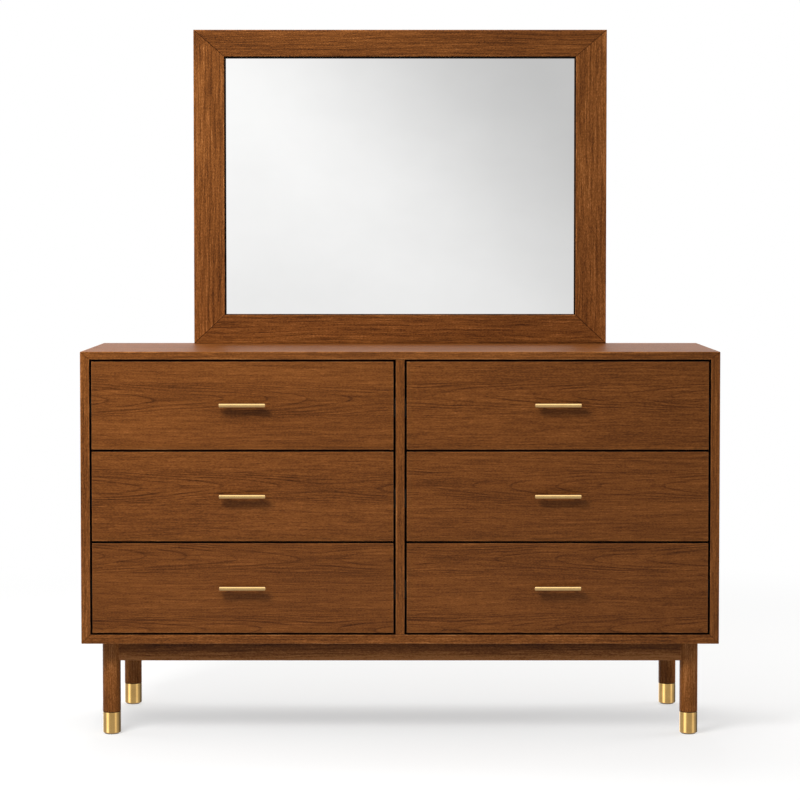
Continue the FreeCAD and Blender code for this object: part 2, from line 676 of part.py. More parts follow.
def corner_blocks():
    """Block screwed up into the case in each corner of the aprons."""
    blocks, screws = [], []
    low = "leg_height - block_height"
    for end, inward in (("front", 1), ("rear", -1)):
        for side, sign in COLUMNS.items():
            face_x = f"{sign} * (side_apron_x - apron_thickness / 2)"
            face_y = f"{end}_leg_y + {inward} * apron_thickness / 2"
            near, far = "block_relief", "block_reach"
            corners = [(face_x, f"{face_y} + {inward} * {near}"), (face_x, f"{face_y} + {inward} * {far}"),
                       (f"{face_x} - {sign} * {far}", face_y), (f"{face_x} - {sign} * {near}", face_y)]
            label = f"corner_block_{end}_{side}"
            body = seat(prism(label + "_board", "XY_Plane", corners, "block_height"), "0", "0", low)
            middle = "(block_relief + block_reach) / 4"
            pair = []
            for i, way in enumerate((-1, 1)):
                step_x = f"({middle} + {way} * block_screw_spread / 2)"
                step_y = f"({middle} - {way} * block_screw_spread / 2)"
                head = (f"{face_x} - {sign} * {step_x}", f"{face_y} + {inward} * {step_y}", low)
                pair.append(Screw(f"{label}_screw_{i}", "wood_screw", "block_screw_length", head, "+z"))
            blocks.append(cut(label, body, drills(pair)))
            screws += pair
    return {"corner_blocks": group("corner_blocks", blocks)}, screws


# ---------------------------------------------------------------- mirror

def mirror_clips():
    """Turn buttons that hold the board, upright on the rails and level on the stiles; screws by member."""
    step = "((clip_length - clip_overlap) / 2)"
    edge_x, edge_z = "(sight_width / 2 + backing_seat)", "(sight_height / 2 + backing_seat)"
    upright = ("clip_width", "clip_thickness", "clip_length")
    level = ("clip_length", "clip_thickness", "clip_width")
    spots = []
    for rail, way in (("mirror_rail_top", 1), ("mirror_rail_bottom", -1)):
        for i in (-1, 0, 1):
            x, z = f"{i} * clip_spacing", f"sight_z + {way} * {edge_z}"
            spots.append((rail, upright, (x, f"{z} - {way} * (clip_overlap - clip_length / 2)"),
                          (x, f"{z} + {way} * {step}")))
    for side, way in COLUMNS.items():
        x, z = f"{way} * {edge_x}", "mirror_top_z - clip_drop"
        spots.append((f"mirror_stile_{side}", level, (f"{x} - {way} * (clip_overlap - clip_length / 2)", z),
                      (f"{x} + {way} * {step}", z)))
    clips, screws = [], {}
    for i, (member, size, (x, z), (screw_x, screw_z)) in enumerate(spots):
        head = (screw_x, "rear_y + clip_thickness", screw_z)
        screw = Screw(f"clip_screw_{i}", "back_screw", "clip_screw_length", head, "-y")
        plate = block(f"clip_{i}_plate", size, (x, "rear_y + clip_thickness / 2", z))
        clips.append(cut(f"clip_{i}", plate, [screw.drill]))
        screws.setdefault(member, []).append(screw)
    return clips, screws


def mirror_frame(holders, clip_screws):
    """Two rails and two stiles, mitred, with a rebate behind for the board that carries the glass."""
    outer_x, inner_x = "mirror_width / 2", "sight_width / 2"
    seat_size = ("sight_width + 2 * backing_seat", "2 * backing_thickness", "sight_height + 2 * backing_seat")
    seat_tool = block("backing_seat_tool", seat_size, ("0", "rear_y", "sight_z"))
    members = {}
    rails = {
        "mirror_rail_top": ("mirror_top_z", "mirror_top_z - rail_width"),
        "mirror_rail_bottom": ("case_top_z", "case_top_z + low_rail_width"),
    }
    for label, (outer, inner) in rails.items():
        members[label] = [(f"-{outer_x}", outer), (outer_x, outer), (inner_x, inner), (f"-{inner_x}", inner)]
    for side, sign in COLUMNS.items():
        members[f"mirror_stile_{side}"] = [
            (f"{sign} * {outer_x}", "case_top_z"), (f"{sign} * {inner_x}", "case_top_z + low_rail_width"),
            (f"{sign} * {inner_x}", "mirror_top_z - rail_width"), (f"{sign} * {outer_x}", "mirror_top_z")]
    made = {}
    for label, corners in members.items():
        side = label.rsplit("_", 1)[-1]
        holes = drills(clip_screws[label])
        if side in COLUMNS:
            holes += drills(holders[side]["stile"])
        board = seat(mitred_board(label + "_board", corners, "mirror_thickness"), "0", "rear_y", "0")
        made[label] = cut(label, board, [seat_tool] + holes)
    return made


def mirror_panel():
    """Glass with a polished edge on a black board."""
    half, low = "(sight_width / 2 - glass_side_gap)", "case_top_z + low_rail_width + glass_low_gap"
    high = "mirror_top_z - rail_width - glass_top_gap"
    corners = [(f"-{half}", low), (half, low), (half, high), (f"-{half}", high)]
    glass = prism("mirror_glass", "XZ_Plane", corners, "glass_thickness")
    ease(glass, "glass_bevel", lambda edge: at_front(edge, "glass_thickness"))
    seat(glass, "0", "backing_y", "0")
    size = ("sight_width + 2 * (backing_seat - panel_fit)", "backing_thickness",
            "sight_height + 2 * (backing_seat - panel_fit)")
    backing = block("mirror_backing", size, ("0", "backing_y + backing_thickness / 2", "sight_z"))
    return {"mirror_glass": glass, "mirror_backing": backing}


def mirror_supports(holders):
    """Batten behind each stile, screwed to the stile and through the back panel to the rail behind it."""
    supports = []
    for side, sign in COLUMNS.items():
        size = ("support_width", "support_thickness", "support_rise + support_drop")
        centre = (f"{sign} * support_x", "rear_y + support_thickness / 2",
                  "case_top_z + (support_rise - support_drop) / 2")
        board = block(f"mirror_support_{side}_board", size, centre)
        screws = holders[side]["rail"] + holders[side]["stile"]
        supports.append(cut(f"mirror_support_{side}", board, drills(screws)))
    return {"mirror_supports": group("mirror_supports", supports)}


# ---------------------------------------------------------------- the whole, its checks and its files

def build():
    """Every sub-part of the dresser, by the name of its node."""
    panel_screws, holders = back_screws(), support_screws()
    blocks, block_screws = corner_blocks()
    clips, clip_screws = mirror_clips()
    into_bottom = {"case_bottom": panel_screws["case_bottom"] + block_screws}
    nodes = {}
    nodes.update(case_shell({**panel_screws, **into_bottom}))
    nodes.update(case_divider(panel_screws))
    nodes.update(case_back(panel_screws, holders))
    nodes.update(back_rails(holders))
    nodes.update(drawers())
    nodes.update(legs())
    nodes.update(aprons())
    nodes.update(blocks)
    nodes.update(mirror_frame(holders, clip_screws))
    nodes.update(mirror_panel())
    nodes.update(mirror_supports(holders))
    case_screws = block_screws + [screw for screws in panel_screws.values() for screw in screws]
    nodes["case_screws"] = group("case_screws", solids(case_screws))
    sets = list(clip_screws.values()) + [screws for sides in holders.values() for screws in sides.values()]
    mirror_screws = [solid for screws in sets for solid in solids(screws)]
    nodes["mirror_fasteners"] = group("mirror_fasteners", clips + mirror_screws)
    doc.recompute()
    return nodes


def check(nodes):
    """Stop if any object failed or any sub-part has no valid shape."""
    failed = [item.Label for item in doc.Objects if {"Invalid", "Error"} & set(item.State)]
    failed += [label for label, piece in nodes.items()
               if piece.Label != label or piece.Shape.isNull() or not piece.Shape.isValid()]
    if failed:
        raise RuntimeError("failed: " + ", ".join(failed))


def export(nodes):
    os.makedirs("parts", exist_ok=True)
    for label, piece in nodes.items():
        piece.Shape.exportStep(f"parts/{label}.step")


nodes = build()
check(nodes)
export(nodes)
whole = FreeCAD.BoundBox()
for piece in nodes.values():
    whole.add(piece.Shape.BoundBox)
print(len(nodes), "sub-parts", sum(len(piece.Shape.Solids) for piece in nodes.values()), "solids", whole)
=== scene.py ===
import math

import bmesh
import bpy
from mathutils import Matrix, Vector


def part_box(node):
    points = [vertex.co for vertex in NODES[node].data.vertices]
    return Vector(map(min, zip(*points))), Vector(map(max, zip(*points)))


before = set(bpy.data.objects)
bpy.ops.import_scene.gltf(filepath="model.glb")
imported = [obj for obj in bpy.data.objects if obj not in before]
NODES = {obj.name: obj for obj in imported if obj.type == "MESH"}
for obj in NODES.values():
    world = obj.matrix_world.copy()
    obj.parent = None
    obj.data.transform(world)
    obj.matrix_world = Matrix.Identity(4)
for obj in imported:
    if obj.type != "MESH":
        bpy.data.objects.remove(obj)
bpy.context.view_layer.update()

ROWS = ("top", "middle", "bottom")
COLUMNS = ("left", "right")
DRAWERS = [f"{row}_{column}" for row in ROWS for column in COLUMNS]


def rgb(red, green, blue):
    """Linear colour of a colour on the 0 to 255 scale of a screen."""
    def linear(value):
        share = value / 255
        return share / 12.92 if share <= 0.04045 else ((share + 0.055) / 1.055) ** 2.4
    return (linear(red), linear(green), linear(blue), 1.0)


# ---------------------------------------------------------------- node trees

class Field:
    """A number that varies over a surface. Sums with it add Math nodes to its material."""

    def __init__(self, shade, socket):
        self.shade = shade
        self.socket = socket

    def math(self, operation, *others, clamp=False):
        node = self.shade.node("ShaderNodeMath", operation=operation, use_clamp=clamp)
        for socket, value in zip(node.inputs, (self, *others)):
            self.shade.feed(socket, value)
        return Field(self.shade, node.outputs[0])

    def __add__(self, other):
        return self.math("ADD", other)

    def __sub__(self, other):
        return self.math("SUBTRACT", other)

    def __mul__(self, other):
        return self.math("MULTIPLY", other)

    def __truediv__(self, other):
        return self.math("DIVIDE", other)

    def __pow__(self, other):
        return self.math("POWER", other)

    def __abs__(self):
        return self.math("ABSOLUTE")

    def __rsub__(self, other):
        node = self.shade.node("ShaderNodeMath", operation="SUBTRACT")
        self.shade.feed(node.inputs[0], other)
        self.shade.feed(node.inputs[1], self)
        return Field(self.shade, node.outputs[0])

    __radd__ = __add__
    __rmul__ = __mul__

    def fraction(self):
        return self.math("FRACT")

    def clamped(self):
        """Held between 0 and 1."""
        return self.math("ADD", 0.0, clamp=True)

    def least(self, other):
        return self.math("MINIMUM", other)

    def most(self, other):
        return self.math("MAXIMUM", other)

    def rise(self, start, end):
        """0 before start, 1 after end and smooth between them."""
        node = self.shade.node("ShaderNodeMapRange", interpolation_type="SMOOTHSTEP")
        for socket, value in zip(node.inputs, (self, start, end, 0.0, 1.0)):
            self.shade.feed(socket, value)
        return Field(self.shade, node.outputs[0])

    def swing(self, size):
        """A noise of 0 to 1 as a swing about 0."""
        return (self - 0.5) * size

    def colour(self, *stops):
        """Colour ramp with stops of (place, colour)."""
        node = self.shade.node("ShaderNodeValToRGB")
        self.shade.feed(node.inputs[0], self)
        elements = node.color_ramp.elements
        while len(elements) < len(stops):
            elements.new(1.0)
        for element, (place, value) in zip(elements, stops):
            element.position, element.color = place, value
        return node.outputs[0]


BUMP_STRENGTH = 0.5


class Shade:
    """Material, or the world, under construction."""

    def __init__(self, name, holder=None):
        self.material = holder or bpy.data.materials.new(name)
        self.material.use_nodes = True
        self.tree = self.material.node_tree
        self.tree.nodes.clear()

    def node(self, kind, **settings):
        node = self.tree.nodes.new(kind)
        for name, value in settings.items():
            setattr(node, name, value)
        return node

    def feed(self, socket, value):
        """Gives a socket a Field, another socket or a plain value."""
        if isinstance(value, Field):
            value = value.socket
        if isinstance(value, bpy.types.NodeSocket):
            self.tree.links.new(value, socket)
        else:
            socket.default_value = value

    def vector(self, kind="Object"):
        """The place on the object in metres, or in a world the direction looked in, as one socket."""
        return self.node("ShaderNodeTexCoord").outputs[kind]

    def place(self, kind="Object"):
        """The parts x, y and z of the vector, as three Fields."""
        split = self.node("ShaderNodeSeparateXYZ")
        self.feed(split.inputs[0], self.vector(kind))
        return [Field(self, socket) for socket in split.outputs]

    def join(self, x, y, z):
        node = self.node("ShaderNodeCombineXYZ")
        for socket, value in zip(node.inputs, (x, y, z)):
            self.feed(socket, value)
        return node.outputs[0]

    def rays(self, kind):
        """1 on the rays of this kind, such as Camera, and 0 on the others."""
        return Field(self, self.node("ShaderNodeLightPath").outputs[f"Is {kind} Ray"])

    def noise(self, vector, per_metre, detail=2.0, roughness=0.5, seed=0.0):
        """Cloud of 0 to 1, stretched as per_metre says along each part of the vector."""
        mapping = self.node("ShaderNodeMapping")
        self.feed(mapping.inputs["Vector"], vector)
        mapping.inputs["Scale"].default_value = per_metre
        mapping.inputs["Location"].default_value = (seed, 1.7 * seed, 2.3 * seed)
        node = self.node("ShaderNodeTexNoise")
        self.feed(node.inputs["Vector"], mapping.outputs[0])
        for name, value in (("Scale", 1.0), ("Detail", detail), ("Roughness", roughness)):
            node.inputs[name].default_value = value
        return Field(self, node.outputs[0])

    def mix(self, share, first, second):
        """The first colour where share is 0 and the second where it is 1."""
        node = self.node("ShaderNodeMix", data_type="RGBA", blend_type="MIX")
        self.feed(node.inputs[0], share)
        self.feed(node.inputs[6], first)
        self.feed(node.inputs[7], second)
        return node.outputs[2]

    def bump(self, height, distance):
        """Normal of a surface that stands out by height times distance, in metres."""
        node = self.node("ShaderNodeBump")
        self.feed(node.inputs["Height"], height)
        node.inputs["Distance"].default_value = distance
        node.inputs["Strength"].default_value = BUMP_STRENGTH
        return node.outputs[0]

    def output(self, socket, kind="ShaderNodeOutputMaterial"):
        self.feed(self.node(kind).inputs[0], socket)

    def finish(self, **inputs):
        """Adds the Principled shader with these inputs and returns the material."""
        shader = self.node("ShaderNodeBsdfPrincipled")
        for name, value in inputs.items():
            self.feed(shader.inputs[name.replace("_", " ")], value)
        self.output(shader.outputs[0])
        return self.material


def assign(node_name, material):
    """Puts the material in every slot of the node."""
    for slot in NODES[node_name].material_slots:
        slot.material = material


# ---------------------------------------------------------------- walnut

GRAIN_WAYS = {  # which of x, y, z run along the grain, across it and through the board
    "xz": (0, 2, 1), "xy": (0, 1, 2), "zx": (2, 0, 1), "zy": (2, 1, 0), "yz": (1, 2, 0)}

WALNUT = (  # stain from its darkest to its palest
    (0.00, rgb(50, 25, 9)), (0.25, rgb(88, 48, 18)), (0.50, rgb(117, 67, 27)),
    (0.75, rgb(146, 88, 40)), (1.00, rgb(181, 119, 66)))
WALNUT_MIDDLE = 0.497        # tone of a drawer front between its marks, on that scale of 0 to 1
WALNUT_ROUGHNESS, WALNUT_SPECULAR = 0.42, 0.10
WALNUT_RELIEF = 0.00022      # height of the grain, in metres
BOARD_CONTRAST, FRAME_CONTRAST = 1.3, 1.45    # of the other boards and of the mirror's; a front has 1
FRONT_SEED, FRONT_SEED_STEP = 11.0, 7.3
BOARD_SEED, BOARD_SEED_STEP = 60.0, 5.7

WALNUT_NOISE = {  # per metre along the grain, per metre across it, detail, roughness, seed
    "sway": (2.2, 9.0, 2.0, 0.5, 0), "ripple": (10.0, 50.0, 2.0, 0.5, 5),
    "uneven": (3.2, 12.0, 2.0, 0.5, 9), "faded": (7.0, 50.0, 2.0, 0.5, 3),
    "clouds": (2.6, 16.0, 3.0, 0.5, 34), "streaks": (8.0, 260.0, 3.0, 0.6, 13),
    "fibres": (36.0, 520.0, 2.0, 0.6, 21), "specks": (210.0, 640.0, 1.0, 0.5, 41),
    "hairs": (90.0, 1500.0, 2.0, 0.6, 27), "pores": (70.0, 900.0, 1.0, 0.5, 55),
    "rubbed": (28.0, 28.0, 2.0, 0.5, 8)}
SWAY, RIPPLE = 0.022, 0.004  # how far the grain wanders across the board, in metres
PORE_EDGE = (0.60, 0.74)     # the part of its noise over which a pore darkens
RING_DARK, PORE_DARK, HAZE_DARK = 0.20, 0.08, 0.09

RING_DEPTH = 0.009           # from one ring to the next through the board, in metres
RING_PITCH = 0.013           # and across a board of straight grain
STRAIGHT_RINGS, STRAIGHT_STEEPNESS = 0.45, 80.0    # strength of straight rings, and rings per metre
LOOP_LENGTH, LOOP_WIDTH = 0.115, 0.018    # from a figure's saddle and axis to its first ring, in metres
SADDLE_ROUNDING = 0.02       # in metres along the board
LOOP_STEEPNESS = 26.0        # the fewest rings per metre across a figure
LOOP_EDGE, LOOP_FALL = (0.024, 0.048), 0.85    # metres from its axis over which a figure fades
HAZE_SIZE = (0.055, 0.010)   # along and across the board, in metres
HAZE_EDGE = (0.4, 2.2)       # over which the haze ends, in such sizes
RING_WAVES = 1.5             # how far uneven growth moves a ring, as a share of the way to the next
RING_SHIFT, RING_START = 0.37, 60.0    # for each step of the seed, and one that keeps the count above 0
LINE_PLACE = 0.30            # of a ring's line, as a share of the way to the next
LINE_EDGE = (0.0003, 0.0024)  # from the middle of a line to where it ends, in metres
LINE_LEAST, LINE_FADED = 0.30, (0.34, 0.58)    # strength of a faded line, and where its noise fades it
TAIL_START, TAIL_END = (0.28, 0.34), (0.34, 0.80)    # of the weaker band behind a line
TAIL_DARK, TAIL_FADED = 0.55, (0.42, 0.66)

EDGE_WEAR_AND_HIGHLIGHT = (0.0008, 0.0032)  # distance from an edge over which its worn stain and painted highlight end, in metres
WEAR_AND_HIGHLIGHT_PALE, RUBBED_PALE = 0.12, 0.20    # how much paler all of an edge is, worn and with a painted highlight, and its most rubbed spots
RUBBED_EDGE = (0.4, 0.7)     # the part of its noise over which a spot turns rubbed
APRON_PAINTED_LIGHT, APRON_PAINTED_SHADE = 0.58, 0.66    # painted light along its lower edge, and painted shade from there to its upper edge, under the case
LEG_LIGHT_RISE, LEG_PAINTED_LIGHT = (0.08, 0.21), 0.15    # heights between which a leg turns paler with painted light, in metres
CONTACT_SHADOW_HEIGHT = (0.0008, 0.0035)   # height over which the painted contact shadow at a board's foot ends, in metres
# how dark the painted contact shadows are above the ferrules and under the mirror
FERRULE_CONTACT_SHADOW, RAIL_CONTACT_SHADOW = 0.40, 0.35
MITRE_EDGE = (0.0002, 0.0012)    # distance over which the dark line of a mitre ends, in metres

GAP_SHADE_BLACK = rgb(9, 8, 8)   # painted shade: black on the faces beside the gaps around the drawer fronts, which lie in shade
GAP_SHADE_START = (0.0001, 0.0005)    # behind the front edges of the case, in metres
GAP_SHADE_END = (0.0012, 0.0004)      # ahead of the rear of the fronts
GAP_SHADE_PLAY, GAP_SHADE_SIDE = 0.0006, 0.0004    # how far it reaches into the boards, and its edge there

CASE_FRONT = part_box("case_side_left")[0].y
CASE_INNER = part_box("case_side_right")[0].x
CASE_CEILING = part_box("case_top")[0].z
CASE_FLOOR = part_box("case_bottom")[1].z
CASE_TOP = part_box("case_top")[1].z
FERRULE_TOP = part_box("ferrule_front_left")[1].z
FRONT_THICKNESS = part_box("drawer_top_left_front")[1].y - CASE_FRONT

MIRROR_FRAME = ("mirror_stile_left", "mirror_stile_right", "mirror_rail_bottom", "mirror_rail_top")
CASE_FRAME = ("case_side_left", "case_side_right", "case_bottom", "case_top")
MITRED_FRAMES = ((MIRROR_FRAME, 0.45), (CASE_FRAME, 0.20))   # boards, and how dark their mitres are


def edge_distance(shade, node_name):
    """Distance to the nearest edge of a node's box, in metres."""
    low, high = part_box(node_name)
    centre, half = (low + high) / 2, (high - low) / 2
    x, y, z = (half[i] - abs(part - centre[i]) for i, part in enumerate(shade.place()))
    return x.least(y).most(x.most(y).least(z))


def reveal(shade):
    """Painted shade: 1 on the faces beside the gaps around the drawer fronts, from the front edges of the
    case in.
    """
    x, y, z = shade.place()
    depth = y - CASE_FRONT
    painted = depth.rise(*GAP_SHADE_START) - depth.rise(*(FRONT_THICKNESS - end for end in GAP_SHADE_END))
    sideways = CASE_INNER + GAP_SHADE_PLAY - abs(x)
    inside = sideways.least(CASE_CEILING + GAP_SHADE_PLAY - z).least(z - CASE_FLOOR + GAP_SHADE_PLAY)
    return painted * inside.rise(0.0, GAP_SHADE_SIDE)


def mitre_distance(shade, left, right, bottom, top):
    """Distance from the mitres of four boards given by the names of their nodes, in metres."""
    low = Vector((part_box(left)[0].x, 0.0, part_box(bottom)[0].z))
    high = Vector((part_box(right)[1].x, 0.0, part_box(top)[1].z))
    side_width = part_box(left)[1].x - low.x
    bottom_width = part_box(bottom)[1].z - low.z
    top_width = high.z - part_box(top)[0].z
    x, _, z = shade.place()
    inward = (high.x - low.x) / 2 - abs(x - (low.x + high.x) / 2)
    lower = abs(inward * bottom_width - (z - low.z) * side_width) / math.hypot(bottom_width, side_width)
    upper = abs(inward * top_width - (high.z - z) * side_width) / math.hypot(top_width, side_width)
    return lower.least(upper).most(inward - side_width)


def walnut_noise(shade, vector, name, seed):
    """One of the clouds of 0 to 1 that WALNUT_NOISE lists."""
    along, across, detail, roughness, own_seed = WALNUT_NOISE[name]
    return shade.noise(vector, (along, across, across), detail, roughness, seed + own_seed)


def rings(shade, cross, along, through, straight, seed, figure):
    """Dark lines of the yearly rings, 0 to 1, and the dark haze around the middle of the figure.

    Along the axes of a figure the lines close in narrow rounded tongues that open away from the saddle.
    """
    uneven = walnut_noise(shade, straight, "uneven", seed).swing(RING_WAVES)
    layers = through / RING_DEPTH + RING_SHIFT * seed + RING_START
    if not figure:
        share = (cross / RING_PITCH + uneven + layers).fraction()
        haze, strength, steepness = 0.0, STRAIGHT_RINGS, STRAIGHT_STEEPNESS
    else:
        saddle, axes = figure
        reach = ((along - saddle) ** 2 + SADDLE_ROUNDING ** 2) ** 0.5
        off_axis = abs(cross - axes[0])
        for axis in axes[1:]:
            off_axis = off_axis.least(abs(cross - axis))
        share = ((off_axis / LOOP_WIDTH) ** 2 - reach / LOOP_LENGTH + uneven + layers).fraction()
        steepness = (off_axis * (2 / LOOP_WIDTH ** 2)).most(LOOP_STEEPNESS)
        strength = 1.0 - off_axis.rise(*LOOP_EDGE) * LOOP_FALL
        haze = 1.0 - (reach / HAZE_SIZE[0] + off_axis / HAZE_SIZE[1]).rise(*HAZE_EDGE)
    line = 1.0 - (abs(share - LINE_PLACE) / steepness).rise(*LINE_EDGE)
    tail = share.rise(*TAIL_START) - share.rise(*TAIL_END)
    faded = walnut_noise(shade, straight, "faded", seed)
    line = line * (LINE_LEAST + faded.rise(*LINE_FADED) * (1.0 - LINE_LEAST))
    tail = tail * faded.rise(*TAIL_FADED) * TAIL_DARK
    return (line + tail) * strength, haze


def painted_contact_shadow(z, level):
    """Painted contact shadow: 1 at the foot of a board that stands at this height, falling to 0 above it.
    """
    return 1.0 - (z - level).rise(*CONTACT_SHADOW_HEIGHT)


def local_tones(shade, node_name, z, light):
    """The lightness of a board with the tones that only some boards have, among them painted light and
    shade.
    """
    if node_name.startswith("apron"):    # painted light along its lower edge and painted shade under the case
        low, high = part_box("apron_front")
        light = light + APRON_PAINTED_LIGHT - z.rise(low.z - 0.005, high.z - 0.006) * APRON_PAINTED_SHADE
    # painted light on the upper part of a leg, and a painted contact shadow above its ferrule
    if node_name.startswith("leg_"):
        light = light + z.rise(*LEG_LIGHT_RISE) * LEG_PAINTED_LIGHT - painted_contact_shadow(z, FERRULE_TOP) * FERRULE_CONTACT_SHADOW
    # painted contact shadow under the mirror
    if node_name == "mirror_rail_bottom":
        light = light - painted_contact_shadow(z, CASE_TOP) * RAIL_CONTACT_SHADOW
    for boards, dark in MITRED_FRAMES:
        if node_name in boards:
            light = light - (1.0 - mitre_distance(shade, *boards).rise(*MITRE_EDGE)) * dark
    return light


def walnut(node_name, ways, seed, figure=None, tone=0.0, contrast=1.0):
    """Walnut-stained board with its grain along ways[0] and its face across ways[1].

    figure holds the places, in metres, of a saddle along the board and of the axes of its loops
    across it. Loops open away from the saddle. Without a figure the grain is straight.
    """
    shade = Shade(f"walnut_{node_name}")
    place = shade.place()
    along, across, through = (place[i] for i in GRAIN_WAYS[ways])
    straight = shade.join(along, across, through)

    def noise(vector, name):
        return walnut_noise(shade, vector, name, seed)

    cross = across + noise(straight, "sway").swing(SWAY) + noise(straight, "ripple").swing(RIPPLE)
    line, haze = rings(shade, cross, along, through, straight, seed, figure)

    grain = shade.join(along, cross, through)
    clouds, streaks, fibres, hairs = (
        noise(grain, name) for name in ("clouds", "streaks", "fibres", "hairs"))
    specks = noise(straight, "specks")
    pores = noise(grain, "pores").rise(*PORE_EDGE)
    swings = (clouds.swing(0.34) + streaks.swing(0.68) + fibres.swing(0.52) + specks.swing(0.62)
              + hairs.swing(0.15) - line * RING_DARK - pores * PORE_DARK)
    light = WALNUT_MIDDLE + tone + swings * contrast - haze * HAZE_DARK

    # edges paler: partly wear, partly a painted highlight of the rounded edges
    arris = 1.0 - edge_distance(shade, node_name).rise(*EDGE_WEAR_AND_HIGHLIGHT)
    rubbed = noise(straight, "rubbed").rise(*RUBBED_EDGE)
    light = light + arris * (WEAR_AND_HIGHLIGHT_PALE + rubbed * RUBBED_PALE)
    light = local_tones(shade, node_name, place[2], light)
    colour = light.clamped().colour(*WALNUT)
    roughness = WALNUT_ROUGHNESS + streaks.swing(0.16) + pores * 0.2
    # painted shade: the faces beside the gaps around the drawer fronts turn black
    if node_name.startswith(("case_", "drawer_")):
        painted = reveal(shade)
        colour = shade.mix(painted, colour, GAP_SHADE_BLACK)
        roughness = roughness + painted * 0.3
    height = fibres * 0.35 + hairs * 0.2 - pores * 0.8 - line * 0.3
    return shade.finish(
        Base_Color=colour, Roughness=roughness, Specular_IOR_Level=WALNUT_SPECULAR,
        Normal=shade.bump(height, WALNUT_RELIEF))


# Where the loops of each drawer front part, as a share of its width from the left, and where
# their axes lie, as shares of its height from the top.
FIGURES = {
    "top_left": (0.98, (0.42,)), "top_right": (0.03, (0.39,)),
    "middle_left": (0.77, (0.39,)), "middle_right": (0.08, (0.37,)),
    "bottom_left": (0.75, (0.17, 0.97)), "bottom_right": (0.14, (0.17, 0.96))}


# The other walnut boards with the ways of their grain, and how much paler than a front each is.
BOARDS = (
    ("case_top", "xy", 0.04), ("case_bottom", "xy", 0.07), ("case_side_left", "zy", 0.06),
    ("case_side_right", "zy", 0.03), ("case_divider", "zy", -0.02), ("apron_front", "xz", 0.0),
    ("apron_rear", "xz", 0.0), ("aprons_side", "yz", 0.0), ("leg_front_left", "zx", 0.14),
    ("leg_front_right", "zx", 0.20), ("leg_rear_left", "zx", 0.26), ("leg_rear_right", "zx", 0.16),
    ("mirror_rail_top", "xz", -0.01), ("mirror_rail_bottom", "xz", 0.02),
    ("mirror_stile_left", "zx", 0.07), ("mirror_stile_right", "zx", 0.09))


def dress_walnut():
    """Each drawer front and each other walnut board, with a grain of its own."""
    for number, name in enumerate(DRAWERS):
        node_name = f"drawer_{name}_front"
        low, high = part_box(node_name)
        saddle, axes = FIGURES[name]
        figure = (low.x + saddle * (high.x - low.x), [high.z - axis * (high.z - low.z) for axis in axes])
        assign(node_name, walnut(node_name, "xz", FRONT_SEED + FRONT_SEED_STEP * number, figure))
    for number, (node_name, ways, tone) in enumerate(BOARDS):
        contrast = FRAME_CONTRAST if node_name in MIRROR_FRAME else BOARD_CONTRAST
        seed = BOARD_SEED + BOARD_SEED_STEP * number
        assign(node_name, walnut(node_name, ways, seed, tone=tone, contrast=contrast))


# ---------------------------------------------------------------- metals

BRASS = ((0.30, rgb(198, 153, 76)), (0.52, rgb(212, 167, 86)), (0.75, rgb(225, 182, 104)))
BAR_LACQUER, FERRULE_LACQUER = 1.95, 1.6
ZINC = ((0.30, rgb(166, 168, 170)), (0.52, rgb(188, 189, 188)), (0.75, rgb(204, 202, 194)))
BLACK_COAT = ((0.30, rgb(17, 17, 18)), (0.55, rgb(30, 30, 31)), (0.80, rgb(52, 51, 50)))


def brass(name, brush, lacquer):
    """Satin brass, brushed along the axes whose brush value is small, under a clear lacquer of this IOR."""
    shade = Shade(name)
    vector = shade.vector()
    lines = shade.noise(vector, brush, 2.0, 0.6)
    tarnish = shade.noise(vector, (45.0, 45.0, 45.0), 3.0, seed=6.0)
    return shade.finish(
        Base_Color=(tarnish * 0.6 + lines * 0.4).colour(*BRASS), Metallic=1.0,
        Roughness=0.16 + lines.swing(0.06) + tarnish.swing(0.04),
        Coat_Weight=1.0, Coat_IOR=lacquer, Coat_Roughness=0.14, Normal=shade.bump(lines, 0.000004))


def steel(name, stops, roughness, metallic=1.0):
    """Rolled sheet with a bloom over it, bare or coated."""
    shade = Shade(name)
    vector = shade.vector()
    rolled = shade.noise(vector, (400.0, 30.0, 400.0), 2.0, 0.6)
    bloom = shade.noise(vector, (90.0, 90.0, 90.0), 3.0, seed=3.0)
    return shade.finish(
        Base_Color=(bloom * 0.7 + rolled * 0.3).colour(*stops), Metallic=metallic,
        Roughness=roughness + bloom.swing(0.25), Normal=shade.bump(rolled * 0.5 + bloom, 0.00005))


# ---------------------------------------------------------------- inner wood, boards and glass

BIRCH = ((0.0, rgb(168, 130, 88)), (0.45, rgb(205, 170, 126)), (1.0, rgb(228, 200, 160)))
POPLAR = ((0.0, rgb(140, 108, 72)), (0.45, rgb(184, 150, 108)), (1.0, rgb(208, 178, 136)))
PLYWOOD = ((0.0, rgb(74, 48, 30)), (0.45, rgb(112, 74, 46)), (1.0, rgb(146, 102, 66)))


